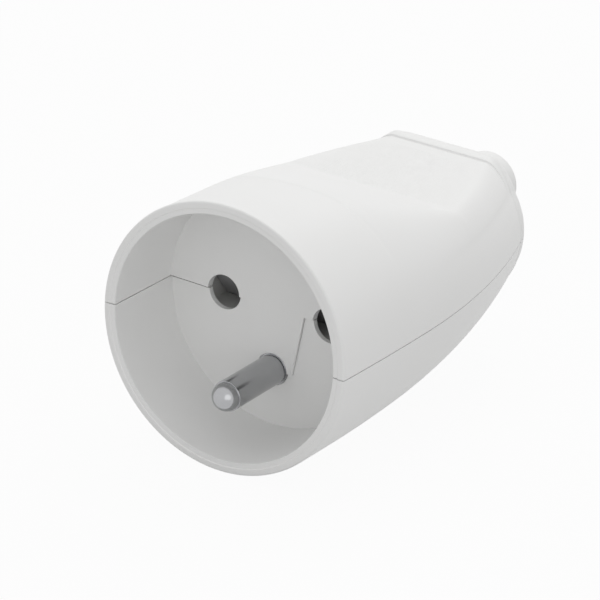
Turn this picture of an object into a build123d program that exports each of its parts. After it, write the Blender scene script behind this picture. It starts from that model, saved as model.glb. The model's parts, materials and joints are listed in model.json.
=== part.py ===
from build123d import *
import os
from math import acos, asin, atan, cos, degrees, radians, sin, sqrt

# Inline mains socket with a round recess, a fixed earth pin and a shutter behind its two holes.
# +Y runs along the socket from the mouth to the cord inlet, +Z is up and the earth pin is low.
# All sizes are in millimetres; a depth is measured back from the mouth, a height from the axis.

# Outside of the housing
overall_length = 79.4
rim_radius = 21.3
rim_edge = 0.35
belly_half_width = 21.85
belly_depth = 23.0
plan_arc_radius = 127.0
keel_depth = 9.0
keel_arc_radius = 199.0
crease_depth = 18.0
crease_height = 19.1
crease_half_width = 7.5
crease_arch = 0.65
grip_depth = 40.0
grip_height = 12.2
grip_shoulder = 5.9
grip_shoulder_growth = 2.2
shoulder_height = 8.0
shoulder_fade_depth = 27.0
shoulder_fullness = 0.45
shoulder_lean = 15.0
lip_depth = 61.8
lip_rise = 0.8
lip_run = 0.5
tail_depth = 66.0
tail_inset = 0.4
tail_round = 3.0
nozzle_radius = 5.35
nozzle_rise = 1.2
nozzle_bore = 4.3
nozzle_edge = 0.5
lying_depth = 33.0
lying_flat = 0.3
wall = 2.0
parting_gap = 0.16
tongue_gap = 0.06

# Recess, face and pin layout
rim_wall = 2.0
recess_depth = 14.5
recess_lead = 0.4
face_thickness = 2.0
face_ledge = 1.0
face_step = 0.3
pin_spacing = 19.0
pin_radius = 2.4
pin_length = 19.0
pin_hole_radius = 2.88
earth_offset = 10.0
tongue_root_half_width = 5.05
tongue_end_half_width = 3.6

# Carrier plates, bosses and cord clamp inside the housing
carrier_thickness = 1.6
carrier_groove = 0.6
boss_wall = 1.2
shell_screw_spacing = 27.6
shell_screw_depth = 49.5
clamp_screw_spacing = 16.4
clamp_depth = 57.0
clamp_width = 5.0
clamp_height = 6.2
clamp_ear_height = 3.2
clamp_ear_margin = 1.6
clamp_wall = 1.4
cord_radius = 3.9

# Shutter and the frame that guides it
shutter_thickness = 5.0
shutter_half_height = 3.3
shutter_land = 1.3
shutter_foot = 0.5
shutter_half_width = 13.3
shutter_travel = 6.0
shutter_clearance = 0.25
frame_plate = 1.5
frame_rail = 1.6
frame_clearance = 0.25
spring_radius = 1.6
spring_wire = 0.5
spring_turns = 5.5
spring_pocket = 1.2
spring_peg = 1.4
spring_room = 3.4

# Contacts, earth pin and terminals
contact_wall = 0.8
contact_collar = 1.0
collar_thickness = 1.3
contact_slit = 0.7
contact_mouth = 0.4
contact_end = 0.8
ring_width = 2.2
ring_thickness = 0.45
ring_groove = 0.3
ring_gap = 1.4
tail_radius = 1.85
tail_length = 2.5
terminal_size = 7.0
terminal_length = 8.5
terminal_edge = 0.6
earth_flange_radius = 4.0
earth_flange_thickness = 1.5
earth_ledge = 0.15
earth_tip_inset = 0.15
earth_collar = 0.2
fit_clearance = 0.05
seat_clearance = 0.1

# Screws: shank and head radius, head height
terminal_screw_radius = 1.45
shell_screw_radius = 1.5
clamp_screw_radius = 1.4
head_ratio = 1.8
head_height = 1.8
head_slot = 0.7
slot_depth = 0.9
shell_screw_seat = 5.5
shell_screw_grip = 7.0
clamp_screw_grip = 7.0
terminal_screw_lift = 0.4

# Depths and heights that follow from the sizes above
axis_height = rim_radius
recess_radius = rim_radius - rim_wall
face_rear = recess_depth + face_thickness
ledge_rear = recess_depth + face_ledge
pin_half_spacing = pin_spacing / 2
shutter_front = face_rear + shutter_clearance
shutter_rear = shutter_front + shutter_thickness
plate_front = shutter_rear + shutter_clearance
plate_rear = plate_front + frame_plate
front_carrier_start = plate_rear + seat_clearance
front_carrier_end = front_carrier_start + carrier_thickness
contact_front = front_carrier_start
contact_radius = pin_radius + contact_wall
bore_end = recess_depth + pin_length + contact_end
rear_carrier_start = bore_end - carrier_thickness
terminal_front = bore_end + contact_wall + seat_clearance
earth_terminal_front = front_carrier_end + seat_clearance
cavity_end = tail_depth - wall
shutter_middle = (shutter_front + shutter_rear) / 2
rail_offset = shutter_half_width + shutter_clearance + frame_rail / 2
stop_height = -shutter_half_height - seat_clearance
shelf_height = shutter_half_height + shutter_travel + spring_room
spring_foot = shutter_half_height - spring_pocket
flange_rear = face_rear + earth_flange_thickness
earth_collar_radius = pin_radius + earth_collar
contact_rear = bore_end + contact_wall
collar_rear = rear_carrier_start - seat_clearance
collar_front = collar_rear - collar_thickness
groove_front = front_carrier_end + ring_width
groove_rear = groove_front + ring_width + 2 * seat_clearance
terminal_bore = tail_radius + fit_clearance
clamp_seat = fit_clearance - parting_gap / 2


def across(depth):
    """Plane square to the socket axis; x is to the right and y is up from the axis."""
    return Plane((0, depth - overall_length / 2, axis_height), x_dir=(1, 0, 0), z_dir=(0, -1, 0))


def level(height):
    """Horizontal plane; x is to the right and y is the depth from the mouth."""
    return Plane((0, -overall_length / 2, axis_height + height), x_dir=(1, 0, 0), z_dir=(0, 0, 1))


def along(offset):
    """Upright plane along the socket; x is the depth and y is up from the axis."""
    return Plane((offset, -overall_length / 2, axis_height), x_dir=(0, 1, 0), z_dir=(1, 0, 0))


def arc_drop(run, radius):
    """How far an arc falls away from its tangent over a run."""
    return radius - sqrt(radius**2 - run**2)


def share(value, low, high):
    """Position of a value between two limits, from 0 to 1."""
    return min(max((value - low) / (high - low), 0), 1)


def half_width(depth):
    """Half-width of the housing at the parting plane."""
    if depth < belly_depth:
        return belly_half_width - (belly_half_width - rim_radius) * (1 - depth / belly_depth) ** 2
    return belly_half_width - arc_drop(depth - belly_depth, plan_arc_radius)


def keel(depth):
    """Depth of the underside below the axis."""
    return rim_radius - arc_drop(max(depth - keel_depth, 0), keel_arc_radius)


def top_height(depth):
    """Height of the upper side: the barrel falls to the crease, then a ramp falls to the grip."""
    barrel = rim_radius + (crease_height - rim_radius) * share(depth, 0, crease_depth)
    return barrel + (grip_height - crease_height) * share(depth, crease_depth, grip_depth)


def top_half_width(depth):
    """Half-width of the upper side's crown, which becomes the flat of the grip."""
    if depth > grip_depth:
        growth = grip_shoulder_growth * share(depth, grip_depth, lip_depth)
        return half_width(depth) - grip_shoulder - growth
    grip_half_width = half_width(grip_depth) - grip_shoulder
    return crease_half_width + (grip_half_width - crease_half_width) * share(depth, crease_depth, grip_depth)


def top_arch(depth):
    """Rise of the crown between its edges: round at the rim, flat on the grip."""
    rim_arch = arc_drop(crease_half_width, rim_radius)
    barrel = rim_arch + (crease_arch - rim_arch) * share(depth, 0, crease_depth)
    return barrel * (1 - share(depth, crease_depth, grip_depth))


def draw_section(width, low, top, crown, arch, upright, shoulder=shoulder_height):
    """Closed cross-section: an elliptical keel and flanks, two shoulders and a crown."""
    turn = asin(shoulder / low)
    foot = (width * cos(turn), shoulder)
    flank_lean = atan(width * sin(turn) / (low * cos(turn)))
    foot_lean = flank_lean + (radians(shoulder_lean) - flank_lean) * upright
    foot_tangent = (-sin(foot_lean), cos(foot_lean))
    fullness = 1 - (1 - shoulder_fullness) * upright
    crown_lean = 2 * atan(arch / crown)
    edge = (crown, top - arch)
    sweep_back = degrees(turn)
    with BuildSketch() as section:
        with BuildLine():
            EllipticalCenterArc(
                (0, 0), width, low, start_angle=180 - sweep_back, arc_size=180 + 2 * sweep_back
            )
            Spline(
                foot,
                edge,
                tangents=[foot_tangent, (-cos(crown_lean), sin(crown_lean))],
                tangent_scalars=[fullness, 1],
            )
            if arch > 0.01:
                ThreePointArc(edge, (0, top), (-edge[0], edge[1]))
            else:
                Line(edge, (-edge[0], edge[1]))
            Spline(
                (-edge[0], edge[1]),
                (-foot[0], foot[1]),
                tangents=[(-cos(crown_lean), -sin(crown_lean)), (foot_tangent[0], -foot_tangent[1])],
                tangent_scalars=[1, fullness],
            )
        make_face()
    return section.sketch


def rim_section():
    """Round outline of the mouth, split where the shoulders and the crown begin further back."""
    turn = degrees(asin(shoulder_height / rim_radius))
    crown_turn = degrees(acos(crease_half_width / rim_radius))
    with BuildSketch() as section:
        with BuildLine():
            CenterArc((0, 0), rim_radius, 180 - turn, 180 + 2 * turn)
            CenterArc((0, 0), rim_radius, turn, crown_turn - turn)
            CenterArc((0, 0), rim_radius, crown_turn, 180 - 2 * crown_turn)
            CenterArc((0, 0), rim_radius, 180 - crown_turn, crown_turn - turn)
        make_face()
    return section.sketch


def housing_section(depth):
    """Outside of the housing at a depth."""
    if depth == 0:
        return rim_section()
    return draw_section(
        half_width(depth),
        keel(depth),
        top_height(depth),
        top_half_width(depth),
        top_arch(depth),
        share(depth, shoulder_fade_depth, grip_depth),
    )


def tail_section(inset):
    """Outside of the tail behind the lip, drawn in by an inset."""
    return draw_section(
        half_width(lip_depth) - inset,
        keel(lip_depth) - inset,
        grip_height + lip_rise - inset,
        top_half_width(lip_depth) - inset,
        0,
        1,
        shoulder_height - inset,
    )


def cavity_section(depth, inset=0.0):
    """Inside of the housing at a depth, one wall in from the outside."""
    width = half_width(depth) - wall - inset
    low = keel(depth) - wall - inset
    top = top_height(depth) - top_arch(depth) - wall - inset
    crown = top_half_width(depth) - wall / 2 - inset
    with BuildSketch() as section:
        with BuildLine():
            EllipticalCenterArc((0, 0), width, low, start_angle=180, arc_size=180)
            Spline((width, 0), (crown, top), tangents=[(0, 1), (-1, 0)], tangent_scalars=[0.9, 0.9])
            Line((crown, top), (-crown, top))
            Spline((-crown, top), (-width, 0), tangents=[(-1, 0), (0, -1)], tangent_scalars=[0.9, 0.9])
        make_face()
    return section.sketch


def stations(first, last, count):
    """Evenly spaced depths, both ends included."""
    return [first + (last - first) * step / (count - 1) for step in range(count)]


# Solid form of the whole housing, before it is hollowed and parted
with BuildPart() as outer_form:
    for stretch in (
        stations(0, crease_depth, 3),
        stations(crease_depth, grip_depth, 3),
        stations(grip_depth, lip_depth, 3),
    ):
        for depth in stretch:
            with BuildSketch(across(depth)):
                add(housing_section(depth))
        loft()
    with BuildSketch(across(lip_depth)):
        add(housing_section(lip_depth))
    with BuildSketch(across(lip_depth + lip_run)):
        add(tail_section(0))
    loft(ruled=True)
    with BuildSketch(across(lip_depth + lip_run)):
        add(tail_section(0))
    for turn in (0, 30, 60, 90):
        with BuildSketch(across(tail_depth - tail_round * (1 - sin(radians(turn))))):
            add(tail_section(tail_inset + tail_round * (1 - cos(radians(turn)))))
    loft()
    with BuildSketch(across(overall_length)):
        with Locations((0, nozzle_rise)):
            Circle(nozzle_radius)
    extrude(amount=overall_length - cavity_end)
    fillet(faces().sort_by(Axis.Y)[-1].edges(), nozzle_edge)
    fillet(faces().sort_by(Axis.Y)[0].edges(), rim_edge)
    # small flat on the keel, on which the socket lies with its tail down
    lean = asin((lying_depth - keel_depth) / keel_arc_radius)
    lying_point = along(0).from_local_coords((lying_depth, lying_flat - keel(lying_depth), 0))
    with BuildSketch(Plane(lying_point, x_dir=(1, 0, 0), z_dir=(0, sin(lean), -cos(lean)))):
        Rectangle(2 * rim_radius, 2 * rim_radius)
    extrude(amount=rim_radius, mode=Mode.SUBTRACT)

# Room inside the housing: the cavity and the grooves of its carriers, less its bosses
with BuildPart() as inner_room:
    for stretch in (stations(face_rear, grip_depth, 3), stations(grip_depth, cavity_end, 3)):
        for depth in stretch:
            with BuildSketch(across(depth)):
                add(cavity_section(depth))
        loft()
    for carrier_end in (front_carrier_end, bore_end):
        with BuildSketch(across(carrier_end + seat_clearance)):
            add(cavity_section(carrier_end, inset=-carrier_groove))
        extrude(amount=carrier_thickness + 2 * seat_clearance)
    with BuildSketch(level(-rim_radius)):
        with GridLocations(shell_screw_spacing, 0, 2, 1):
            with Locations((0, shell_screw_depth)):
                Circle(head_ratio * shell_screw_radius + seat_clearance + boss_wall)
    extrude(amount=2 * rim_radius, mode=Mode.SUBTRACT)
    with BuildSketch(level(-rim_radius)):
        with GridLocations(clamp_screw_spacing, 0, 2, 1):
            with Locations((0, clamp_depth)):
                Circle(clamp_screw_radius + boss_wall)
        with Locations((0, clamp_depth)):
            Rectangle(clamp_screw_spacing, clamp_width)
    extrude(amount=rim_radius, mode=Mode.SUBTRACT)

# Holes through the face for the two pins of a plug and for the earth pin
with BuildSketch() as face_holes:
    with GridLocations(pin_spacing, 0, 2, 1):
        Circle(pin_hole_radius)
    with Locations((0, -earth_offset)):
        Circle(earth_collar_radius + fit_clearance)

# Hollow housing with every opening cut, still in one piece
with BuildPart() as housing:
    add(outer_form.part)
    with BuildSketch(across(recess_depth)):
        Circle(recess_radius)
    extrude(amount=recess_depth, mode=Mode.SUBTRACT)
    chamfer(edges().filter_by(GeomType.CIRCLE).group_by(Axis.Y)[0].sort_by(SortBy.RADIUS)[:1], recess_lead)
    add(inner_room.part, mode=Mode.SUBTRACT)
    with BuildSketch(across(face_rear)):
        add(face_holes.sketch)
    extrude(amount=face_thickness, mode=Mode.SUBTRACT)
    with BuildSketch(across(overall_length)):
        with Locations((0, nozzle_rise)):
            Circle(nozzle_bore)
    extrude(amount=overall_length - cavity_end + wall, mode=Mode.SUBTRACT)
    with BuildSketch(across(clamp_depth + clamp_width)):
        Circle(cord_radius)
    extrude(amount=2 * clamp_width, mode=Mode.SUBTRACT)
    with BuildSketch(level(-rim_radius)):
        with GridLocations(shell_screw_spacing, 0, 2, 1):
            with Locations((0, shell_screw_depth)):
                Circle(head_ratio * shell_screw_radius + seat_clearance)
    extrude(amount=rim_radius - shell_screw_seat, mode=Mode.SUBTRACT)
    with BuildSketch(level(-shell_screw_seat)):
        with GridLocations(shell_screw_spacing, 0, 2, 1):
            with Locations((0, shell_screw_depth)):
                Circle(shell_screw_radius + fit_clearance)
    extrude(amount=shell_screw_seat + shell_screw_grip + seat_clearance, mode=Mode.SUBTRACT)
    with BuildSketch(level(0)):
        with GridLocations(clamp_screw_spacing, 0, 2, 1):
            with Locations((0, clamp_depth)):
                Circle(clamp_screw_radius + fit_clearance)
    extrude(amount=-clamp_screw_grip - seat_clearance, mode=Mode.SUBTRACT)


def upper_side(side):
    """Everything above the parting plane, with the tongue that drops to the earth pin.

    The side is 1 for the bounds of the upper shell and -1 for the bounds of the lower one.
    """
    size = 3 * overall_length
    gap = side * parting_gap / 2
    slack = side * tongue_gap / 2
    with BuildPart() as region:
        with BuildSketch(level(gap)):
            Rectangle(size, size)
        extrude(amount=size)
        with BuildSketch(across(face_rear)):
            with BuildLine():
                Polyline(
                    (slack - tongue_root_half_width, gap),
                    (slack - tongue_end_half_width, slack - earth_offset),
                    (tongue_end_half_width - slack, slack - earth_offset),
                    (tongue_root_half_width - slack, gap),
                    close=True,
                )
            make_face()
        extrude(amount=face_thickness)
    return region.part


def stepped_plate(inset=0.0):
    """Plate over the front of the cavity, stepped in front to pass the ledge round the recess."""
    with BuildPart() as plate:
        with BuildSketch(across(face_rear)):
            add(cavity_section(face_rear, inset=inset))
        extrude(amount=face_thickness - face_ledge)
        with BuildSketch(across(ledge_rear)):
            add(cavity_section(face_rear, inset=inset))
            Circle(recess_radius - inset, mode=Mode.INTERSECT)
        extrude(amount=face_ledge)
    return plate.part


with BuildPart() as upper_shell:
    add(housing.part)
    add(upper_side(1), mode=Mode.INTERSECT)
    add(stepped_plate(), mode=Mode.SUBTRACT)

# Upper part of the face with its tongue, held behind the ledge of the upper shell
with BuildPart() as upper_face:
    add(stepped_plate(seat_clearance))
    with BuildSketch(across(face_rear)):
        add(face_holes.sketch)
    extrude(amount=face_thickness, mode=Mode.SUBTRACT)
    add(upper_side(1), mode=Mode.INTERSECT)

with BuildPart() as lower_shell:
    add(housing.part)
    add(upper_side(-1), mode=Mode.SUBTRACT)
    # its part of the face lies a little deeper than the tongue
    with BuildSketch(across(recess_depth + face_step)):
        Circle(recess_radius)
    extrude(amount=face_step, mode=Mode.SUBTRACT)

# Frame behind the face: a plate with two guide rails, a stop under the shutter and a spring shelf
with BuildPart() as shutter_frame:
    with BuildSketch(across(plate_rear)):
        add(cavity_section(plate_rear, inset=frame_clearance))
        with GridLocations(pin_spacing, 0, 2, 1):
            Circle(pin_hole_radius + frame_clearance, mode=Mode.SUBTRACT)
    extrude(amount=frame_plate)
    with BuildSketch(across(plate_front)):
        rail_top = shutter_half_height + shutter_travel
        rail_bottom = stop_height - frame_rail
        with Locations((0, (rail_top + rail_bottom) / 2)):
            with GridLocations(2 * rail_offset, 0, 2, 1):
                Rectangle(frame_rail, rail_top - rail_bottom)
        with Locations((0, stop_height - frame_rail / 2)):
            Rectangle(2 * rail_offset, frame_rail)
        with Locations((0, shelf_height + frame_rail / 2)):
            Rectangle(4 * spring_radius, frame_rail)
    extrude(amount=plate_front - face_rear - seat_clearance)
    with BuildSketch(across(plate_front)):
        with Locations((0, -earth_offset)):
            Circle(earth_flange_radius)
    extrude(amount=plate_front - flange_rear - seat_clearance)
    with BuildSketch(across(plate_rear)):
        with Locations((0, -earth_offset)):
            Circle(pin_radius + seat_clearance)
    extrude(amount=plate_rear - flange_rear, mode=Mode.SUBTRACT)
    with BuildSketch(level(shelf_height)):
        with Locations((0, shutter_middle)):
            Circle(spring_radius - spring_wire / 2 - frame_clearance)
    extrude(amount=-spring_peg)


def contact_carrier(end, earth_opening):
    """Insulating plate in the grooves of both shells, with holes for the contacts and the earth line."""
    with BuildPart() as carrier:
        with BuildSketch(across(end)):
            add(cavity_section(end, inset=seat_clearance - carrier_groove))
            with GridLocations(pin_spacing, 0, 2, 1):
                Circle(contact_radius + fit_clearance, mode=Mode.SUBTRACT)
            with Locations((0, -earth_offset)):
                add(earth_opening, mode=Mode.SUBTRACT)
        extrude(amount=carrier_thickness)
    return carrier


# The front carrier holds the shank of the earth pin, the rear one has a window for its terminal
with BuildSketch() as shank_hole:
    Circle(pin_radius + seat_clearance)
with BuildSketch() as terminal_window:
    Rectangle(terminal_size + 2 * seat_clearance, terminal_size + 2 * seat_clearance)
front_carrier = contact_carrier(front_carrier_end, shank_hole.sketch)
rear_carrier = contact_carrier(bore_end, terminal_window.sketch)

# Shutter: a bar across both holes whose sloping front lets the two pins of a plug lift it
with BuildPart() as shutter:
    with BuildSketch(along(-shutter_half_width)):
        with BuildLine():
            Polyline(
                (shutter_front, shutter_half_height - shutter_land),
                (shutter_front, shutter_half_height),
                (shutter_rear, shutter_half_height),
                (shutter_rear, -shutter_half_height),
                (shutter_rear - shutter_foot, -shutter_half_height),
                close=True,
            )
        make_face()
    extrude(amount=2 * shutter_half_width)
    with BuildSketch(level(shutter_half_height)):
        with Locations((0, shutter_middle)):
            Circle(spring_radius + spring_wire / 2 + frame_clearance)
    extrude(amount=-spring_pocket, mode=Mode.SUBTRACT)

# Spring that returns the shutter, seated in the pocket of the shutter and under the shelf
with BuildPart() as shutter_spring:
    with BuildLine():
        coil_height = shelf_height - spring_foot - spring_wire - 2 * fit_clearance
        coil_foot = spring_foot + spring_wire / 2 + fit_clearance
        coil = Helix(
            pitch=coil_height / spring_turns,
            height=coil_height,
            radius=spring_radius,
            center=level(coil_foot).from_local_coords((0, shutter_middle, 0)),
        )
    with BuildSketch(Plane(origin=coil @ 0, z_dir=coil % 0)):
        Circle(spring_wire / 2)
    sweep(path=coil, is_frenet=True)


def turned_contact(offset):
    """Split sleeve for one pin of a plug, with a collar, a ring groove and a tail for its terminal."""
    with BuildPart() as contact:
        with BuildSketch(along(offset)):
            with BuildLine():
                Polyline(
                    (contact_front, pin_radius + contact_mouth),
                    (contact_front + contact_mouth, pin_radius),
                    (bore_end, pin_radius),
                    (bore_end, 0),
                    (contact_rear + tail_length, 0),
                    (contact_rear + tail_length, tail_radius),
                    (contact_rear, tail_radius),
                    (contact_rear, contact_radius),
                    (collar_rear, contact_radius),
                    (collar_rear, contact_radius + contact_collar),
                    (collar_front, contact_radius + contact_collar),
                    (collar_front, contact_radius),
                    (groove_rear, contact_radius),
                    (groove_rear, contact_radius - ring_groove),
                    (groove_front, contact_radius - ring_groove),
                    (groove_front, contact_radius),
                    (contact_front, contact_radius),
                    close=True,
                )
            make_face()
        revolve(axis=Axis((offset, 0, axis_height), (0, 1, 0)))
        with BuildSketch(across(collar_front)):
            with Locations((offset, 0)):
                Rectangle(contact_slit, 3 * contact_radius)
        extrude(amount=collar_front - contact_front, mode=Mode.SUBTRACT)
    return contact


def contact_ring(offset):
    """Open steel ring that closes the split end of a contact."""
    with BuildPart() as ring:
        with BuildSketch(across(groove_rear - seat_clearance)):
            inner_radius = contact_radius - ring_groove + fit_clearance
            with Locations((offset, 0)):
                Circle(inner_radius + ring_thickness)
                Circle(inner_radius, mode=Mode.SUBTRACT)
            with Locations((offset + (contact_radius if offset > 0 else -contact_radius), 0)):
                Rectangle(contact_radius, ring_gap, mode=Mode.SUBTRACT)
        extrude(amount=ring_width)
    return ring


def terminal_block(offset, height, front):
    """Square block pressed on the tail of a contact, bored for the wire and drilled for its screw."""
    with BuildPart() as terminal:
        with BuildSketch(across(front + terminal_length)) as section:
            with Locations((offset, height)):
                Rectangle(terminal_size, terminal_size)
            chamfer(section.vertices(), terminal_edge)
            with Locations((offset, height)):
                Circle(terminal_bore, mode=Mode.SUBTRACT)
        extrude(amount=terminal_length)
        with BuildSketch(level(height + terminal_size / 2)):
            with Locations((offset, front + terminal_length / 2)):
                Circle(terminal_screw_radius + fit_clearance)
        extrude(amount=-terminal_size / 2, mode=Mode.SUBTRACT)
    return terminal


def slotted_screws(seats, radius, length):
    """Slotted cheese-head screws; a seat is the plane under the head, its normal leaving the head."""
    with BuildPart() as screws:
        for seat in seats:
            with BuildSketch(seat):
                Circle(head_ratio * radius)
            extrude(amount=head_height)
            with BuildSketch(seat):
                Circle(radius)
            extrude(amount=-length)
            with BuildSketch(seat.offset(head_height)):
                Rectangle(3 * head_ratio * radius, head_slot)
            extrude(amount=-slot_depth, mode=Mode.SUBTRACT)
    return screws


def seat_at(plane, offset, depth):
    """The same plane moved to a place on it."""
    return Plane(plane.from_local_coords((offset, depth, 0)), x_dir=plane.x_dir, z_dir=plane.z_dir)


contact_left = turned_contact(-pin_half_spacing)
contact_right = turned_contact(pin_half_spacing)
contact_ring_left = contact_ring(-pin_half_spacing)
contact_ring_right = contact_ring(pin_half_spacing)
terminal_left = terminal_block(-pin_half_spacing, 0, terminal_front)
terminal_right = terminal_block(pin_half_spacing, 0, terminal_front)
earth_terminal = terminal_block(0, -earth_offset, earth_terminal_front)

# Earth pin: round-ended, with a collar in the face, a flange behind it and a tail for its terminal
with BuildPart() as earth_pin:
    with BuildSketch(along(0)):
        dome_radius = pin_radius - earth_ledge
        dome_end = earth_tip_inset + dome_radius
        with BuildLine():
            dome = CenterArc((dome_end, -earth_offset), dome_radius, 90, 90)
            Polyline(
                dome @ 0,
                (dome_end, pin_radius - earth_offset),
                (recess_depth, pin_radius - earth_offset),
                (recess_depth, earth_collar_radius - earth_offset),
                (face_rear, earth_collar_radius - earth_offset),
                (face_rear, earth_flange_radius - earth_offset),
                (flange_rear, earth_flange_radius - earth_offset),
                (flange_rear, pin_radius - earth_offset),
                (earth_terminal_front - seat_clearance, pin_radius - earth_offset),
                (earth_terminal_front - seat_clearance, tail_radius - earth_offset),
                (earth_terminal_front + tail_length, tail_radius - earth_offset),
                (earth_terminal_front + tail_length, -earth_offset),
                dome @ 1,
            )
        make_face()
    revolve(axis=Axis((0, 0, axis_height - earth_offset), (0, 1, 0)))

# Saddle that clamps the cord down on the cradle of the lower shell
with BuildPart() as cord_clamp:
    with BuildSketch(across(clamp_depth + clamp_width / 2)):
        ear_reach = clamp_screw_spacing / 2 + clamp_screw_radius + clamp_ear_margin
        with Locations((0, clamp_seat)):
            Rectangle(2 * ear_reach, clamp_ear_height, align=(Align.CENTER, Align.MIN))
            Rectangle(2 * (cord_radius + clamp_wall), clamp_height, align=(Align.CENTER, Align.MIN))
        Circle(cord_radius, mode=Mode.SUBTRACT)
    extrude(amount=clamp_width)
    with BuildSketch(level(clamp_seat)):
        with Locations((0, clamp_depth)):
            with GridLocations(clamp_screw_spacing, 0, 2, 1):
                Circle(clamp_screw_radius + seat_clearance)
    extrude(amount=clamp_ear_height, mode=Mode.SUBTRACT)

terminal_top = terminal_size / 2 + terminal_screw_lift
terminal_screws = slotted_screws(
    [
        seat_at(level(terminal_top), -pin_half_spacing, terminal_front + terminal_length / 2),
        seat_at(level(terminal_top), pin_half_spacing, terminal_front + terminal_length / 2),
        seat_at(level(terminal_top - earth_offset), 0, earth_terminal_front + terminal_length / 2),
    ],
    terminal_screw_radius,
    terminal_top - terminal_bore,
)
clamp_screw_top = clamp_seat + clamp_ear_height + fit_clearance
clamp_screws = slotted_screws(
    [seat_at(level(clamp_screw_top), side * clamp_screw_spacing / 2, clamp_depth) for side in (-1, 1)],
    clamp_screw_radius,
    clamp_screw_top + clamp_screw_grip,
)
under_seat = level(-shell_screw_seat - fit_clearance)
shell_screws = slotted_screws(
    [-seat_at(under_seat, side * shell_screw_spacing / 2, shell_screw_depth) for side in (-1, 1)],
    shell_screw_radius,
    shell_screw_seat + shell_screw_grip,
)

pieces = {
    "upper_shell": upper_shell,
    "lower_shell": lower_shell,
    "upper_face": upper_face,
    "shutter_frame": shutter_frame,
    "front_carrier": front_carrier,
    "rear_carrier": rear_carrier,
    "shutter": shutter,
    "shutter_spring": shutter_spring,
    "contact_left": contact_left,
    "contact_right": contact_right,
    "contact_ring_left": contact_ring_left,
    "contact_ring_right": contact_ring_right,
    "terminal_left": terminal_left,
    "terminal_right": terminal_right,
    "earth_pin": earth_pin,
    "earth_terminal": earth_terminal,
    "terminal_screws": terminal_screws,
    "cord_clamp": cord_clamp,
    "clamp_screws": clamp_screws,
    "shell_screws": shell_screws,
}
os.makedirs("parts", exist_ok=True)
for name, piece in pieces.items():
    piece.part.label = name
    export_step(piece.part, f"parts/{name}.step")
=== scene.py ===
import json
import math
import bmesh
import bpy
from mathutils import Matrix, Vector


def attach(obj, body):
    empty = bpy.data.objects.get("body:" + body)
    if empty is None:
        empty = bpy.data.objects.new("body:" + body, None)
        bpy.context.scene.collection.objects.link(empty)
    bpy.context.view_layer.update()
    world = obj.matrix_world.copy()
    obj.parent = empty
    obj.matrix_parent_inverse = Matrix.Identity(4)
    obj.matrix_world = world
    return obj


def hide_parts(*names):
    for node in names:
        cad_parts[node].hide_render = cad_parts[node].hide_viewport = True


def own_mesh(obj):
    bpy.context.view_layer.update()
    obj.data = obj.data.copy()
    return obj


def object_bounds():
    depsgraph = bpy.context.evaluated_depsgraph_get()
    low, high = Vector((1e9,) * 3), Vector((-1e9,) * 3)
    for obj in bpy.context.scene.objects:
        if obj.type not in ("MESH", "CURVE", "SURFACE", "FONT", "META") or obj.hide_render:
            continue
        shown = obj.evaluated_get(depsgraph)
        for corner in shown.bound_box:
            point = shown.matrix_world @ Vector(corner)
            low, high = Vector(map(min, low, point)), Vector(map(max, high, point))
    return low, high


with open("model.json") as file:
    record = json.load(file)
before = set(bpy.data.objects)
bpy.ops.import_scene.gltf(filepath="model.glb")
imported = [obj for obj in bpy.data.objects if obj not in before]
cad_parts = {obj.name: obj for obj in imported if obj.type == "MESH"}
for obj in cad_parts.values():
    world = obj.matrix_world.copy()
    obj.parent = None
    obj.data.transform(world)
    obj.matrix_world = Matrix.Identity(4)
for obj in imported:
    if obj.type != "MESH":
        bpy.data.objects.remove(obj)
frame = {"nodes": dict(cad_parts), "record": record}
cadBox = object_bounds()
print("frame loaded:", len(frame["nodes"]), "CAD nodes")

# everything below is written in millimetres: across, depth back from the mouth, height over the axis
mm = 0.001
mounts = {mount["name"]: mount for mount in frame["record"]["mounts"]}
mouthY = cadBox[0][1]
axisZ = mounts["contact_left"]["pos_m"][2]
pinX = mounts["contact_right"]["pos_m"][0] / mm
earthHeight = (mounts["earth_pin"]["pos_m"][2] - axisZ) / mm
fullLength = (cadBox[1][1] - cadBox[0][1]) / mm


def at(across, depth, height):
    return (across * mm, mouthY + depth * mm, axisZ + height * mm)


# shader values with arithmetic; any expression adds its Math nodes
class ShaderValue:
    def __init__(self, tree, socket):
        self.tree = tree
        self.socket = socket

    def maths(self, operation, first, second):
        return self.tree.node("ShaderNodeMath", {"operation": operation}, {0: first, 1: second})

    def __add__(self, other):
        return self.maths("ADD", self, other)

    def __radd__(self, other):
        return self.maths("ADD", other, self)

    def __sub__(self, other):
        return self.maths("SUBTRACT", self, other)

    def __mul__(self, other):
        return self.maths("MULTIPLY", self, other)


class ShaderTree:
    def __init__(self, tree):
        self.tree = tree
        tree.nodes.clear()

    def node(self, kind, settings=None, sockets=None, out=0):
        made = self.tree.nodes.new(kind)
        for key, value in (settings or {}).items():
            setattr(made, key, value)
        for key, value in (sockets or {}).items():
            if isinstance(value, ShaderValue):
                self.tree.links.new(value.socket, made.inputs[key])
            else:
                made.inputs[key].default_value = value
        return ShaderValue(self, made.outputs[out]) if len(made.outputs) else made

    def noise(self, coords, size, detail):
        sockets = {"Vector": coords, "Scale": 1 / (size * mm), "Detail": detail}
        return self.node("ShaderNodeTexNoise", None, sockets, "Fac")

    def blend(self, share, first, second):
        return self.node("ShaderNodeMix", {"data_type": "RGBA"}, {0: share, 6: first, 7: second}, 2)

    def bump(self, height, strength, distance):
        sockets = {"Height": height, "Strength": strength, "Distance": distance * mm}
        return self.node("ShaderNodeBump", None, sockets)


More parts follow.
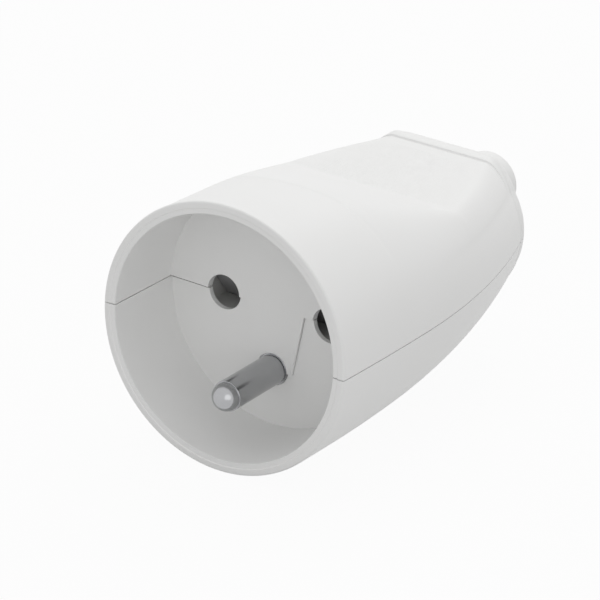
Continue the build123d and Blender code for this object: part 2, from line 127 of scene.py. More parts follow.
def finishOf(name, paint):
    material = bpy.data.materials.new(name)
    material.use_nodes = True
    tree = ShaderTree(material.node_tree)
    coords = tree.node("ShaderNodeTexCoord", None, None, "Object")
    surface = tree.node("ShaderNodeBsdfPrincipled", None, paint(tree, coords))
    tree.node("ShaderNodeOutputMaterial", None, {"Surface": surface})
    return material


whiteShades = {
    "pale": (0.885, 0.885, 0.88, 1), "shaded": (0.865, 0.865, 0.855, 1), "roughness": 0.44,
    "cloud": 14, "cloudDetail": 2, "cloudRoughness": 0.06,
    "grain": 0.22, "grainDetail": 3, "grainRoughness": 0.08, "grainStrength": 0.35, "grainDepth": 0.006,
}


def whitePaint(tree, coords):
    w = whiteShades
    cloud = tree.noise(coords, w["cloud"], w["cloudDetail"])
    grain = tree.noise(coords, w["grain"], w["grainDetail"])
    clouded = w["roughness"] + (cloud - 0.5) * w["cloudRoughness"]
    return {
        "Base Color": tree.blend(cloud, w["pale"], w["shaded"]),
        "Roughness": clouded + (grain - 0.5) * w["grainRoughness"],
        "Normal": tree.bump(grain, w["grainStrength"], w["grainDepth"]),
    }


# pale shade, dark shade and roughness of each finish
mouldedShades = {
    "framePlastic": ((0.6, 0.6, 0.58, 1), (0.54, 0.54, 0.53, 1), 0.5),
    "shutterPlastic": ((0.34, 0.34, 0.345, 1), (0.3, 0.3, 0.305, 1), 0.5),
}
mouldedGrain = {
    "cloud": 3, "cloudDetail": 2,
    "grain": 0.3, "grainDetail": 3, "grainRoughness": 0.15, "grainStrength": 0.4, "grainDepth": 0.01,
}


def mouldedPaint(pale, dark, roughness):
    def paint(tree, coords):
        g = mouldedGrain
        cloud = tree.noise(coords, g["cloud"], g["cloudDetail"])
        grain = tree.noise(coords, g["grain"], g["grainDetail"])
        return {
            "Base Color": tree.blend(cloud, pale, dark),
            "Roughness": roughness + (grain - 0.5) * g["grainRoughness"],
            "Normal": tree.bump(grain, g["grainStrength"], g["grainDepth"]),
        }

    return paint


metalShades = {
    "contactBrass": ((0.72, 0.53, 0.22, 1), (0.63, 0.45, 0.18, 1), 0.3),
    "nickelPlate": ((0.46, 0.465, 0.475, 1), (0.4, 0.405, 0.415, 1), 0.2),
    "springSteel": ((0.48, 0.48, 0.47, 1), (0.4, 0.4, 0.4, 1), 0.32),
    "zincSteel": ((0.62, 0.63, 0.65, 1), (0.53, 0.54, 0.56, 1), 0.34),
}
metalGrain = {
    "cloud": 1.6, "cloudDetail": 3, "cloudRoughness": 0.06,
    "ring": 0.12, "ringDetail": 2, "ringRoughness": 0.08, "ringStrength": 0.15, "ringDepth": 0.006,
}


# turned metal: rings along the depth, and a soft cloud of tarnish
def metalPaint(pale, dark, roughness):
    def paint(tree, coords):
        g = metalGrain
        depth = tree.node("ShaderNodeSeparateXYZ", None, {"Vector": coords}, "Y")
        lane = tree.node("ShaderNodeCombineXYZ", None, {"Y": depth})
        rings = tree.noise(lane, g["ring"], g["ringDetail"])
        cloud = tree.noise(coords, g["cloud"], g["cloudDetail"])
        ringed = roughness + (rings - 0.5) * g["ringRoughness"]
        return {
            "Base Color": tree.blend(cloud, pale, dark),
            "Metallic": 1.0,
            "Roughness": ringed + (cloud - 0.5) * g["cloudRoughness"],
            "Normal": tree.bump(rings, g["ringStrength"], g["ringDepth"]),
        }

    return paint


finishes = {"whitePlastic": finishOf("whitePlastic", whitePaint)}
for name, shades in mouldedShades.items():
    finishes[name] = finishOf(name, mouldedPaint(*shades))
for name, shades in metalShades.items():
    finishes[name] = finishOf(name, metalPaint(*shades))

nodeFinish = {
    "shutter_frame": "framePlastic",
    "front_carrier": "framePlastic",
    "rear_carrier": "framePlastic",
    "shutter": "shutterPlastic",
    "contact_left": "contactBrass",
    "contact_right": "contactBrass",
    "contact_ring_left": "springSteel",
    "contact_ring_right": "springSteel",
    "terminal_left": "contactBrass",
    "terminal_right": "contactBrass",
    "earth_terminal": "contactBrass",
    "terminal_screws": "zincSteel",
    "cord_clamp": "framePlastic",
    "clamp_screws": "zincSteel",
    "shell_screws": "zincSteel",
}
for node, finish in nodeFinish.items():
    slots = frame["nodes"][node].data.materials
    slots.clear()
    slots.append(finishes[finish])
print("finishes ready:", len(finishes))


# plain meshes, made in place
def meshPiece(name, points, faces):
    mesh = bpy.data.meshes.new(name)
    mesh.from_pydata(points, [], faces)
    work = bmesh.new()
    work.from_mesh(mesh)
    bmesh.ops.recalc_face_normals(work, faces=work.faces[:])
    work.to_mesh(mesh)
    work.free()
    piece = bpy.data.objects.new(name, mesh)
    bpy.context.scene.collection.objects.link(piece)
    return piece


# closed skin over rings of equally many points
def skin(name, rings):
    count = len(rings[0])
    points = [point for ring in rings for point in ring]
    faces = [list(range(count))]
    faces.append([len(points) - count + step for step in range(count)])
    for ring in range(len(rings) - 1):
        for step in range(count):
            here, beside = ring * count + step, ring * count + (step + 1) % count
            faces.append([here, beside, beside + count, here + count])
    return meshPiece(name, points, faces)


def circle(radius, count):
    turns = [2 * math.pi * step / count for step in range(count)]
    return [(radius * math.cos(turn), radius * math.sin(turn)) for turn in turns]


# round about a line along the depth; a profile is (depth, radius)
def turned(name, across, height, profile, count=64):
    rings = []
    for depth, radius in profile:
        rings.append([at(across + x, depth, height + z) for x, z in circle(radius, count)])
    return skin(name, rings)


# round about an upright line; a profile is (height, radius)
def post(name, across, depth, profile, count=48):
    rings = []
    for height, radius in profile:
        rings.append([at(across + x, depth + y, height) for x, y in circle(radius, count)])
    return skin(name, rings)


def slab(name, low, high):
    ring = [(low[0], low[1]), (high[0], low[1]), (high[0], high[1]), (low[0], high[1])]
    return skin(name, [[at(x, y, height) for x, y in ring] for height in (low[2], high[2])])


def settle(piece):
    view = bpy.context.evaluated_depsgraph_get()
    view.update()
    mesh = bpy.data.meshes.new_from_object(piece.evaluated_get(view))
    mesh.name = piece.name
    piece.modifiers.clear()
    piece.data = mesh
    return piece


# joins or cuts a piece with others, which are used up
def carve(piece, operation, tools):
    bench = bpy.data.collections.new("bench")
    for tool in tools:
        bench.objects.link(tool)
    step = piece.modifiers.new("carve", "BOOLEAN")
    step.operation = operation
    step.solver = "EXACT"
    step.operand_type = "COLLECTION"
    step.collection = bench
    settle(piece)
    for tool in tools:
        bpy.data.objects.remove(tool)
    bpy.data.collections.remove(bench)
    return piece


def copyOf(piece, name):
    twin = piece.copy()
    twin.data = piece.data.copy()
    twin.name = name
    bpy.context.scene.collection.objects.link(twin)
    return twin


def smoothEdges(piece, sharpest):
    piece.data.shade_smooth()
    piece.data.set_sharp_from_angle(angle=math.radians(sharpest))


def dress(piece, finish, body, slot, *nodes):
    piece.data.materials.clear()
    piece.data.materials.append(finishes[finish])
    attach(piece, body)
    if nodes:
        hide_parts(*nodes)


# outside of the housing
housing = {
    "rimRadius": 21.3, "rimEdge": 0.35, "edgeShare": 0.999, "bellyHalfWidth": 21.85, "bellyDepth": 23,
    "planArc": 127, "keelDepth": 9, "keelArc": 199,
    "creaseDepth": 18, "creaseHeight": 19.1, "creaseHalfWidth": 7.5, "creaseArch": 0.65, "creaseSoft": 0.3,
    "creaseDip": 0.09, "gripDepth": 40, "gripHeight": 12.2, "gripShoulder": 5.9, "gripShoulderGrowth": 1.7,
    "gripSoft": 0.5, "shoulderHeight": 8, "shoulderFade": 27, "shoulderFullness": 0.45, "shoulderLean": 15,
    "lipDepth": 61.8, "lipRise": 0.8, "lipRun": 0.5, "lipFoot": 60.9, "lipCove": 0.12, "coveRun": 3,
    "lipStep": 0.42, "lipStepRun": 0.1, "tailDepth": 66, "tailInset": 0.4, "tailRound": 3,
    "nozzleRadius": 5.35, "nozzleRise": 1.2, "nozzleBore": 4.3, "nozzleEdge": 0.5,
    "lyingDepth": 33, "lyingFlat": 0.3, "partingGap": 0.16, "partingGapRear": 0.08, "tongueGap": 0.06,
    "wall": 2, "cavityPull": 0.9, "cavityStep": 2, "cavityShoulderSteps": 16, "cavityKeelSteps": 32,
    "ringStep": 0.7, "flankSteps": 10, "shoulderSteps": 16, "crownSteps": 20, "keelSteps": 72,
    "rimSteps": 4, "lipSteps": 3, "tailSteps": 8, "nozzleSteps": 6, "nozzleSides": 96, "sharpest": 30,
}


def arcDrop(run, radius):
    return radius - math.sqrt(radius**2 - run**2)


def share(value, low, high):
    return min(max((value - low) / (high - low), 0), 1)


# straight runs through the given points, with the corners eased over a short length
def easedLine(value, corners, ease):
    total = corners[0][1]
    slope = 0
    lastX, lastY = corners[-1]
    ends = corners[1:] + [(lastX + 1, lastY)]  # level after the last corner
    for (x0, y0), (x1, y1) in zip(corners, ends):
        bend = (y1 - y0) / (x1 - x0) - slope
        soft = 0 if x0 == corners[0][0] else ease[x0]
        past = value - x0
        if past >= soft:
            total += bend * past
        elif past > -soft:
            total += bend * (past + soft) ** 2 / (4 * soft)
        slope += bend
    return total


cornerEase = {housing["creaseDepth"]: housing["creaseSoft"], housing["gripDepth"]: housing["gripSoft"]}


def halfWidth(depth):
    h = housing
    widest = h["bellyHalfWidth"]
    if depth < h["bellyDepth"]:
        return widest - (widest - h["rimRadius"]) * (1 - depth / h["bellyDepth"]) ** 2
    return widest - arcDrop(depth - h["bellyDepth"], h["planArc"])


def keel(depth):
    return housing["rimRadius"] - arcDrop(max(depth - housing["keelDepth"], 0), housing["keelArc"])


def topHeight(depth):
    h = housing
    corners = [(0, h["rimRadius"]), (h["creaseDepth"], h["creaseHeight"])]
    corners.append((h["gripDepth"], h["gripHeight"]))
    dip = h["creaseDip"] * max(0, 1 - abs(depth - h["creaseDepth"]) / h["creaseSoft"])
    return easedLine(depth, corners, cornerEase) - dip


def topHalfWidth(depth):
    h = housing
    if depth > h["gripDepth"]:
        growth = h["gripShoulderGrowth"] * share(depth, h["gripDepth"], h["lipDepth"])
        return halfWidth(depth) - h["gripShoulder"] - growth
    gripHalfWidth = halfWidth(h["gripDepth"]) - h["gripShoulder"]
    widening = share(depth, h["creaseDepth"], h["gripDepth"])
    return h["creaseHalfWidth"] + (gripHalfWidth - h["creaseHalfWidth"]) * widening


def topArch(depth):
    h = housing
    rimArch = arcDrop(h["creaseHalfWidth"], h["rimRadius"])
    barrel = rimArch + (h["creaseArch"] - rimArch) * share(depth, 0, h["creaseDepth"])
    return barrel * (1 - share(depth, h["creaseDepth"], h["gripDepth"]))


def curveBetween(start, startPull, end, endPull, steps):
    points = []
    for step in range(steps):
        t = step / steps
        a, b = 2 * t**3 - 3 * t**2 + 1, t**3 - 2 * t**2 + t
        c, d = 3 * t**2 - 2 * t**3, t**3 - t**2
        points.append(tuple(a * start[i] + b * startPull[i] + c * end[i] + d * endPull[i] for i in (0, 1)))
    return points


# one cross-section, from the right-hand parting line up over the crown and back under the keel
def sectionPoints(width, low, top, crown, arch, upright, shoulder):
    h = housing
    turn = math.asin(shoulder / low)
    flankLean = math.atan(width * math.sin(turn) / (low * math.cos(turn)))
    lean = flankLean + (math.radians(h["shoulderLean"]) - flankLean) * upright
    foot, edge = (width * math.cos(turn), shoulder), (crown, top - arch)
    chord = math.dist(foot, edge)
    pull = chord * (1 - (1 - h["shoulderFullness"]) * upright)
    crownLean = 2 * math.atan(arch / crown)
    footPull = (-math.sin(lean) * pull, math.cos(lean) * pull)
    edgePull = (-math.cos(crownLean) * chord, math.sin(crownLean) * chord)
    half = []
    for step in range(h["flankSteps"]):
        angle = turn * step / h["flankSteps"]
        half.append((width * math.cos(angle), low * math.sin(angle)))
    half += curveBetween(foot, footPull, edge, edgePull, h["shoulderSteps"])
    for step in range(h["crownSteps"] // 2):
        across = crown * (1 - 2 * step / h["crownSteps"])
        half.append((across, top - arch * (across / crown) ** 2))
    points = half + [(0, top)] + [(-x, z) for x, z in half[:0:-1]]
    for step in range(h["keelSteps"]):
        angle = math.pi + math.pi * step / h["keelSteps"]
        points.append((width * math.cos(angle), low * math.sin(angle)))
    return points


# the grip curves up a little, steps up at the foot of the lip and rounds over to its ridge
def lipRise(depth):
    h = housing
    foot, stepEnd = h["lipFoot"], h["lipFoot"] + h["lipStepRun"]
    cove = h["lipCove"] * share(depth, foot - h["coveRun"], foot) ** 2
    step = (h["lipStep"] - h["lipCove"]) * share(depth, foot, stepEnd)
    left = 1 - share(depth, stepEnd, h["lipDepth"] + h["lipRun"])
    return cove + step + (h["lipRise"] - h["lipStep"]) * (1 - left**2)


def housingRing(depth, inset=0):
    h = housing
    upright = share(depth, h["shoulderFade"], h["gripDepth"])
    top = topHeight(depth) + lipRise(depth)
    points = sectionPoints(halfWidth(depth), keel(depth), top, topHalfWidth(depth), topArch(depth), upright,
                           h["shoulderHeight"])
    ring = []
    for x, z in points:
        reach = math.hypot(x, z)
        radius = h["rimRadius"] if depth < h["rimEdge"] else reach  # the mouth is a true circle
        trim = (radius - inset) / reach
        ring.append(at(x * trim, depth, z * trim))
    return ring


def tailRing(depth, inset):
    h = housing
    lip = h["lipDepth"]
    top = h["gripHeight"] + lipRise(depth) - inset
    points = sectionPoints(halfWidth(lip) - inset, keel(lip) - inset, top, topHalfWidth(lip) - inset, 0, 1,
                           h["shoulderHeight"] - inset)
    return [at(x, depth, z) for x, z in points]


def quarterTurn(count):
    return [math.pi / 2 * step / count for step in range(count + 1)]


def housingForm():
    h = housing
    rings = []
    edge = h["rimEdge"]
    for turn in quarterTurn(h["rimSteps"]):
        depth = edge * (1 - math.cos(turn)) * h["edgeShare"]  # short of the edge's end: a circle still
        rings.append(housingRing(depth, edge * (1 - math.sin(turn))))
    bends = [edge]
    for corner, soft in cornerEase.items():
        bends += [corner - soft, corner, corner + soft]
    bends += [h["lipFoot"], h["lipFoot"] + h["lipStepRun"], h["lipDepth"]]
    for front, rear in zip(bends, bends[1:]):
        steps = math.ceil((rear - front) / h["ringStep"])
        rings += [housingRing(front + (rear - front) * step / steps) for step in range(1, steps + 1)]
    for step in range(1, h["lipSteps"] + 1):
        rings.append(tailRing(h["lipDepth"] + h["lipRun"] * step / h["lipSteps"], 0))
    roundStart = h["tailDepth"] - h["tailRound"]
    for turn in quarterTurn(h["tailSteps"]):
        inset = h["tailInset"] + h["tailRound"] * (1 - math.cos(turn))
        rings.append(tailRing(roundStart + h["tailRound"] * math.sin(turn), inset))
    return skin("housing", rings)


# inside of the housing, one wall in, or less where it grows into the wall
def cavityRing(depth, grow):
    h = housing
    wall = h["wall"] - grow
    width, low = halfWidth(depth) - wall, keel(depth) - wall
    top = topHeight(depth) - topArch(depth) - wall
    crown = topHalfWidth(depth) - h["wall"] / 2 + grow
    pull = h["cavityPull"] * math.dist((width, 0), (crown, top))
    half = curveBetween((width, 0), (0, pull), (crown, top), (-pull, 0), h["cavityShoulderSteps"])
    half.append((crown, top))
    points = half + [(-x, z) for x, z in half[::-1]]
    for step in range(1, h["cavityKeelSteps"]):
        angle = math.pi + math.pi * step / h["cavityKeelSteps"]
        points.append((width * math.cos(angle), low * math.sin(angle)))
    return [at(x, depth, z) for x, z in points]


inside = {
    "recessRadius": 19.3, "recessDepth": 14.5, "recessLead": 0.4, "faceRear": 16.5, "faceStep": 0.45,
    "seamSlot": 0.3, "pinHole": 2.88, "holeRelief": 0.7, "holeReliefRadius": 3.5, "earthHole": 2.65,
    "rimStep": 0.12, "rimStepRadius": 20.15, "tongueRoot": 5.05, "tongueEnd": 3.6,
    "carrierGrooves": ((23.5, 25.3), (32.6, 34.4)), "grooveDepth": 0.6, "cavityEnd": 64,
    "shellScrewAcross": 13.8, "shellScrewDepth": 49.5, "shellScrewHole": 1.55, "shellScrewSeat": 5.5,
    "shellScrewTop": 7.1, "counterbore": 2.8, "bossWall": 1.2,
    "clampScrewAcross": 8.2, "clampDepth": 57, "clampWidth": 5, "clampScrewHole": 1.45, "clampBoss": 2.6,
    "clampScrewFoot": -7.1, "cordRadius": 3.9, "overrun": 0.5,
    "leadSteps": 4, "recessSides": 160, "holeSides": 72,
}


def room(name, front, rear, grow=0):
    steps = max(2, round((rear - front) / housing["cavityStep"]))
    depths = [front + (rear - front) * step / steps for step in range(steps + 1)]
    return skin(name, [cavityRing(depth, grow) for depth in depths])


# round cut along the depth
def hole(name, across, height, radius, front, rear, count=64):
    return turned(name, across, height, [(front, radius), (rear, radius)], count)


# round cut or boss that stands upright
def pillar(name, across, depth, radius, low, high):
    return post(name, across, depth, [(low, radius), (high, radius)])


def recessCut():
    n, over = inside, inside["overrun"]
    profile = [(-over, n["recessRadius"] + n["recessLead"])]
    for turn in quarterTurn(n["leadSteps"])[::-1]:
        depth = n["recessLead"] * (1 - math.sin(turn))
        profile.append((depth, n["recessRadius"] + n["recessLead"] * (1 - math.cos(turn))))
    profile.append((n["recessDepth"], n["recessRadius"]))
    return turned("recess", 0, 0, profile, n["recessSides"])


def rimStepCut():
    n = inside
    wide = n["rimStepRadius"] + n["rimStep"]
    profile = [(-n["overrun"], wide), (0, wide), (n["rimStep"], n["rimStepRadius"])]
    return turned("rimStep", 0, 0, profile, n["recessSides"])


# the cavity, less the bosses that stand in it
def cavityCut(low):
    n = inside
    cavity = room("cavity", n["faceRear"], n["cavityEnd"])
    halfWide = n["clampWidth"] / 2
    bosses = [slab("clampBridge", (-n["clampScrewAcross"], n["clampDepth"] - halfWide, low),
                   (n["clampScrewAcross"], n["clampDepth"] + halfWide, 0))]
    bossRadius = n["counterbore"] + n["bossWall"]
    for side in (-1, 1):
        shellX, clampX = side * n["shellScrewAcross"], side * n["clampScrewAcross"]
        bosses.append(pillar("shellBoss", shellX, n["shellScrewDepth"], bossRadius, low, -low))
        bosses.append(pillar("clampBoss", clampX, n["clampDepth"], n["clampBoss"], low, 0))
    return carve(cavity, "DIFFERENCE", bosses)


def housingCuts():
    h, n, over = housing, inside, inside["overrun"]
    low, seat = -h["rimRadius"], -n["shellScrewSeat"]
    front, rear, sides = n["recessDepth"] - over, n["faceRear"] + over, n["holeSides"]
    relief, boreFront = n["faceRear"] - n["holeRelief"], n["cavityEnd"] - h["wall"]
    clampFront, clampRear = n["clampDepth"] - n["clampWidth"], n["clampDepth"] + n["clampWidth"]
    cuts = [recessCut(), rimStepCut()]
    cuts += [room("carrierGroove", *groove, n["grooveDepth"]) for groove in n["carrierGrooves"]]
    cuts.append(cavityCut(low))
    for side in (-1, 1):
        shellX, clampX = side * n["shellScrewAcross"], side * n["clampScrewAcross"]
        cuts += [
            hole("pinHole", side * pinX, 0, n["pinHole"], front, rear, sides),
            hole("holeRelief", side * pinX, 0, n["holeReliefRadius"], relief, rear, sides),
            pillar("counterbore", shellX, n["shellScrewDepth"], n["counterbore"], low, seat),
            pillar("shellScrewHole", shellX, n["shellScrewDepth"], n["shellScrewHole"], seat - over,
                   n["shellScrewTop"]),
            pillar("clampScrewHole", clampX, n["clampDepth"], n["clampScrewHole"], n["clampScrewFoot"], over),
        ]
    cuts += [
        hole("earthHole", 0, earthHeight, n["earthHole"], front, rear, sides),
        hole("cordBore", 0, h["nozzleRise"], h["nozzleBore"], boreFront, fullLength + over),
        hole("cordCradle", 0, 0, n["cordRadius"], clampFront, clampRear),
        lyingCut(),
    ]
    return cuts


# plane under the keel that leaves the small flat on which the socket lies
def lyingCut():
    h = housing
    lean = math.asin((h["lyingDepth"] - h["keelDepth"]) / h["keelArc"])
    run, drop = h["rimRadius"] * math.cos(lean), h["rimRadius"] * math.sin(lean)
    level = h["lyingFlat"] - keel(h["lyingDepth"])
    wide = below = h["rimRadius"]
    lower, upper = [], []
    for x, end in ((-wide, -1), (wide, -1), (wide, 1), (-wide, 1)):
        lower.append(at(x, h["lyingDepth"] + end * run, level - below))
        upper.append(at(x, h["lyingDepth"] + end * run, level + end * drop))
    return skin("lyingCut", [lower, upper])


# everything over the parting plane, with the tongue that drops to the earth pin
def upperSide(side):
    n = inside
    size = fullLength
    gap, slack = side * housing["partingGap"] / 2, side * housing["tongueGap"] / 2
    rearGap = side * housing["partingGapRear"] / 2
    ends = ((-size, 2 * gap - rearGap), (2 * size, 2 * rearGap - gap))  # the gap narrows toward the tail
    rings = []
    for depth, low in ends:
        rings.append([at(x, depth, z) for x, z in ((-size, low), (size, low), (size, size), (-size, size))])
    region = skin("upperSide", rings)
    root, end = n["tongueRoot"] - slack, n["tongueEnd"] - slack
    crest, foot = gap + 2 * n["overrun"], slack + earthHeight
    outline = [(-root, crest), (-root, gap), (-end, foot), (end, foot), (root, gap), (root, crest)]
    depths = (n["recessDepth"] - n["overrun"], n["faceRear"] + n["overrun"])
    tongue = skin("tongue", [[at(x, depth, z) for x, z in outline] for depth in depths])
    return carve(region, "UNION", [tongue])


def nozzle():
    h = housing
    profile = [(inside["cavityEnd"], h["nozzleRadius"])]
    for turn in quarterTurn(h["nozzleSteps"]):
        depth = fullLength - h["nozzleEdge"] * (1 - math.sin(turn))
        profile.append((depth, h["nozzleRadius"] - h["nozzleEdge"] * (1 - math.cos(turn))))
    return turned("nozzle", 0, h["nozzleRise"], profile, h["nozzleSides"])


whole = carve(housingForm(), "UNION", [nozzle()])
whole = carve(whole, "DIFFERENCE", housingCuts())
print("housing carved:", len(whole.data.polygons), "faces")
upperShell = copyOf(whole, "upperShell")
carve(upperShell, "INTERSECT", [upperSide(1)])
lowerShell = whole
lowerShell.name = "lowerShell"
faceStep = hole("faceStep", 0, 0, inside["recessRadius"], inside["recessDepth"] - inside["overrun"],
                inside["recessDepth"] + inside["faceStep"], inside["recessSides"])
seamSlot = slab("seamSlot", (-inside["recessRadius"], inside["recessDepth"], -inside["seamSlot"]),
                (-pinX, inside["faceRear"], 0))
carve(lowerShell, "DIFFERENCE", [upperSide(-1), faceStep, seamSlot])
# the upper part of the face is part of the upper shell's mesh
for shell, nodes in ((upperShell, ("upper_shell", "upper_face")), (lowerShell, ("lower_shell",))):
    smoothEdges(shell, housing["sharpest"])
    dress(shell, "whitePlastic", "housing", "white_plastic", *nodes)
print("shells parted:", len(upperShell.data.polygons), "and", len(lowerShell.data.polygons), "faces")


# node trees for what repeats
class PieceTree:
    def __init__(self, name, inputs):
        self.tree = bpy.data.node_groups.new(name, "GeometryNodeTree")
        kinds = {float: "NodeSocketFloat", int: "NodeSocketInt", tuple: "NodeSocketVector"}
        self.keys = {}
        for label, value in inputs.items():
            kind = kinds.get(type(value), "NodeSocketMaterial")
            socket = self.tree.interface.new_socket(label, in_out="INPUT", socket_type=kind)
            self.keys[label] = socket.identifier
        self.tree.interface.new_socket("Geometry", in_out="OUTPUT", socket_type="NodeSocketGeometry")
        self.inputs = inputs
        self.entry = self.tree.nodes.new("NodeGroupInput")

    def given(self, label):
        return self.entry.outputs[label]

    def node(self, kind, settings=None, sockets=None, out=0):
        made = self.tree.nodes.new(kind)
        for key, value in (settings or {}).items():
            setattr(made, key, value)
        for key, value in (sockets or {}).items():
            if isinstance(value, bpy.types.NodeSocket):
                self.tree.links.new(value, made.inputs[key])
            else:
                made.inputs[key].default_value = value
        return made.outputs[out] if len(made.outputs) else made

    def maths(self, operation, first, second):
        return self.node("ShaderNodeMath", {"operation": operation}, {0: first, 1: second})

    # the finished geometry, as a plain mesh piece
    def piece(self, name, geometry):
        real = self.node("GeometryNodeRealizeInstances", None, {"Geometry": geometry})
        sockets = {"Geometry": real, "Material": self.given("Material")}
        painted = self.node("GeometryNodeSetMaterial", None, sockets)
        self.node("NodeGroupOutput", None, {"Geometry": painted})
        made = bpy.data.objects.new(name, bpy.data.meshes.new(name))
        bpy.context.scene.collection.objects.link(made)
        step = made.modifiers.new(name, "NODES")
        step.node_group = self.tree
        for label, value in self.inputs.items():
            step[self.keys[label]] = value
        return settle(made)


ribs = {"first": 40.4, "last": 58.5, "count": 34, "width": 0.36, "height": 0.05, "overEdge": 0.1,
        "sides": 12, "steps": 24, "sharpest": 40}


def gripRibs():
    pitch = (ribs["last"] - ribs["first"]) / (ribs["count"] - 1)
    tree = PieceTree("gripRibs", {
        "Count": ribs["count"],
        "Start": at(0, ribs["first"], housing["gripHeight"]),
        "Step": (0.0, pitch * mm, 0.0),
        "Front Half Length": (topHalfWidth(ribs["first"]) + ribs["overEdge"]) * mm,
        "Back Half Length": (topHalfWidth(ribs["last"]) + ribs["overEdge"]) * mm,
        "Half Width": ribs["width"] / 2 * mm,
        "Height": ribs["height"] * mm,
        "Material": finishes["whitePlastic"],
    })
    line = tree.node("GeometryNodeMeshLine", None, {
        "Count": tree.given("Count"), "Start Location": tree.given("Start"), "Offset": tree.given("Step")})
    bar = tree.node("GeometryNodeMeshUVSphere", None, {
        "Segments": ribs["sides"], "Rings": ribs["steps"], "Radius": 1.0})
    lying = tree.node("GeometryNodeTransform", None, {"Geometry": bar, "Rotation": (0, math.pi / 2, 0)})
    order = tree.node("GeometryNodeInputIndex")
    last = tree.maths("SUBTRACT", tree.given("Count"), 1.0)
    reach = tree.node("ShaderNodeMapRange", None, {
        "Value": order, "From Max": last, "To Min": tree.given("Front Half Length"),
        "To Max": tree.given("Back Half Length")})
    size = tree.node("ShaderNodeCombineXYZ", None, {
        "X": reach, "Y": tree.given("Half Width"), "Z": tree.given("Height")})
    bars = tree.node("GeometryNodeInstanceOnPoints", None, {
        "Points": line, "Instance": lying, "Scale": size})
    return tree.piece("gripRibs", bars)


ribPiece = gripRibs()
smoothEdges(ribPiece, ribs["sharpest"])
dress(ribPiece, "whitePlastic", "housing", "white_plastic")
print("grip ribs:", ribs["count"])

spring = {"radius": 1.6, "wire": 0.5, "turns": 5.5, "foot": 2.1, "shelf": 12.7, "depth": 19.25,
          "clearance": 0.05, "openHeight": 4.6, "turnSteps": 40, "wireSides": 14, "sharpest": 60}


def returnSpring():
    rise = spring["shelf"] - spring["foot"] - spring["wire"] - 2 * spring["clearance"]
    tree = PieceTree("returnSpring", {
        "Turns": spring["turns"],
        "Radius": spring["radius"] * mm,
        "Rise": rise * mm,
        "Wire Radius": spring["wire"] / 2 * mm,
        "Place": at(0, spring["depth"], spring["foot"] + spring["wire"] / 2 + spring["clearance"]),
        "Material": finishes["springSteel"],
    })
    coil = tree.node("GeometryNodeCurveSpiral", None, {
        "Resolution": spring["turnSteps"], "Rotations": tree.given("Turns"), "Height": tree.given("Rise"),
        "Start Radius": tree.given("Radius"), "End Radius": tree.given("Radius")})
    wire = tree.node("GeometryNodeCurvePrimitiveCircle", None, {
        "Resolution": spring["wireSides"], "Radius": tree.given("Wire Radius")})
    solid = tree.node("GeometryNodeCurveToMesh", None, {
        "Curve": coil, "Profile Curve": wire, "Fill Caps": True})
    placed = tree.node("GeometryNodeTransform", None, {
        "Geometry": solid, "Translation": tree.given("Place")})
    return tree.piece("returnSpring", placed)


springPiece = returnSpring()
smoothEdges(springPiece, spring["sharpest"])
dress(springPiece, "springSteel", "housing", "spring_steel", "shutter_spring")
at(0, spring["depth"], spring["shelf"])
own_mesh(springPiece)
print("return spring wound")

pin = {
    "radius": 2.4, "tipInset": 0.15, "tipFlat": 0.01, "ledge": 0.15, "ledgeRound": 0.04, "collarFront": 14.65,
    "collarRadius": 2.6, "faceRear": 16.5, "flangeRadius": 4, "flangeRear": 18, "shoulder": 25.2,
    "tailRadius": 1.85, "tail": 27.8, "domeSteps": 20, "sides": 96, "sharpest": 35,
}


def earthPin():
    dome = pin["radius"] - pin["ledge"]
    domeEnd = pin["tipInset"] + dome
    profile = []
    for turn in quarterTurn(pin["domeSteps"]):
        profile.append((domeEnd - dome * math.cos(turn), max(dome * math.sin(turn), pin["tipFlat"])))
    edge = pin["ledgeRound"]
    profile += [(domeEnd, pin["radius"] - edge), (domeEnd + edge, pin["radius"])]
    profile += [(pin["collarFront"], pin["radius"]), (pin["collarFront"], pin["collarRadius"])]
    profile += [(pin["faceRear"], pin["collarRadius"]), (pin["faceRear"], pin["flangeRadius"])]
    profile += [(pin["flangeRear"], pin["flangeRadius"]), (pin["flangeRear"], pin["radius"])]
    profile += [(pin["shoulder"], pin["radius"]), (pin["shoulder"], pin["tailRadius"])]
    profile.append((pin["tail"], pin["tailRadius"]))
    return turned("earthPin", 0, earthHeight, profile, pin["sides"])


pinPiece = earthPin()
smoothEdges(pinPiece, pin["sharpest"])
dress(pinPiece, "nickelPlate", "housing", "nickel_plate", "earth_pin")
print("earth pin turned")

# studio
studio = {
    "floorSize": 4, "floorShade": (0.64, 0.64, 0.64, 1), "floorGlow": 0.95, "skyDiffuse": 0.65,
    "keyPower": 2.9, "keySize": 0.9, "keyFrom": (-0.18, 0.35, 0.9),
    "sidePower": 1.1, "sideSize": 0.9, "sideFrom": (0.66, -0.76, 0.3),
}


def softLight(name, power, size, place):
    lamp = bpy.data.lights.new(name, "AREA")
    lamp.shape = "DISK"
    lamp.energy = power
    lamp.size = size
    light = bpy.data.objects.new(name, lamp)
    aim = Vector(at(0, fullLength / 2, 0))
    facing = (Vector(place) - aim).to_track_quat("Z", "Y").to_matrix().to_4x4()
    light.matrix_world = Matrix.Translation(place) @ facing
    bpy.context.scene.collection.objects.link(light)


# 1 where the camera sees a surface, straight or in a shine
def plainSight(tree):
    seen = tree.node("ShaderNodeLightPath", None, None, "Is Camera Ray")
    rays = seen.socket.node.outputs
    for label in ("Is Glossy Ray", "Is Transmission Ray"):
        seen = seen.maths("MAXIMUM", seen, ShaderValue(tree, rays[label]))
    return seen


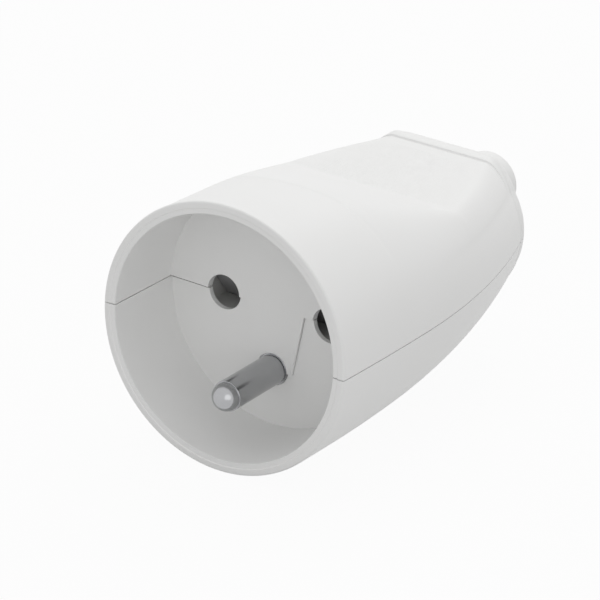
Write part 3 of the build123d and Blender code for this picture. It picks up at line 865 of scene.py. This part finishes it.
def paleFloor():
    half = studio["floorSize"] / 2
    corners = [(-half, -half, 0), (half, -half, 0), (half, half, 0), (-half, half, 0)]
    floor = meshPiece("floor", corners, [[0, 1, 2, 3]])
    material = bpy.data.materials.new("floorPaper")
    material.use_nodes = True
    tree = ShaderTree(material.node_tree)
    paper = tree.node("ShaderNodeBsdfDiffuse", None, {"Color": studio["floorShade"]})
    glow = tree.node("ShaderNodeEmission", None, {"Color": (1, 1, 1, 1), "Strength": 1.0})
    seen = plainSight(tree) * studio["floorGlow"]
    mixed = tree.node("ShaderNodeMixShader", None, {0: seen, 1: paper, 2: glow})
    tree.node("ShaderNodeOutputMaterial", None, {"Surface": mixed})
    floor.data.materials.append(material)


def paleSky():
    world = bpy.data.worlds.new("paleSky")
    world.use_nodes = True
    bpy.context.scene.world = world
    tree = ShaderTree(world.node_tree)
    strength = studio["skyDiffuse"] + plainSight(tree) * (1 - studio["skyDiffuse"])
    sky = tree.node("ShaderNodeBackground", None, {"Color": (1, 1, 1, 1), "Strength": strength})
    tree.node("ShaderNodeOutputWorld", None, {"Surface": sky})


paleFloor()
paleSky()
softLight("keyLight", studio["keyPower"], studio["keySize"], studio["keyFrom"])
softLight("sideLight", studio["sidePower"], studio["sideSize"], studio["sideFrom"])

# camera at the photograph's angle; its aim is across, depth and height
camera = {"azimuth": 31.584, "elevation": 24.095, "roll": 3.744, "lens": 172.28, "sensor": 36,
          "distance": 420, "nearest": 10, "aim": (8.2, 8.0, 6.2)}


def photoCamera():
    turn, rise, roll = (math.radians(camera[key]) for key in ("azimuth", "elevation", "roll"))
    back = Vector((math.sin(turn) * math.cos(rise), -math.cos(turn) * math.cos(rise), math.sin(rise)))
    level = Vector((math.cos(turn), math.sin(turn), 0))
    upright = back.cross(level)
    right = math.cos(roll) * level + math.sin(roll) * upright
    up = math.cos(roll) * upright - math.sin(roll) * level
    place = Vector(at(*camera["aim"])) + back * camera["distance"] * mm
    lens = bpy.data.cameras.new("photoCamera")
    lens.lens = camera["lens"]
    lens.sensor_width = camera["sensor"]
    lens.clip_start = camera["nearest"] * mm
    eye = bpy.data.objects.new("photoCamera", lens)
    eye.matrix_world = Matrix.Translation(place) @ Matrix((right, up, back)).transposed().to_4x4()
    bpy.context.scene.collection.objects.link(eye)
    bpy.context.scene.camera = eye


photoCamera()
bpy.context.scene.view_settings.view_transform = "Standard"
print("studio set")
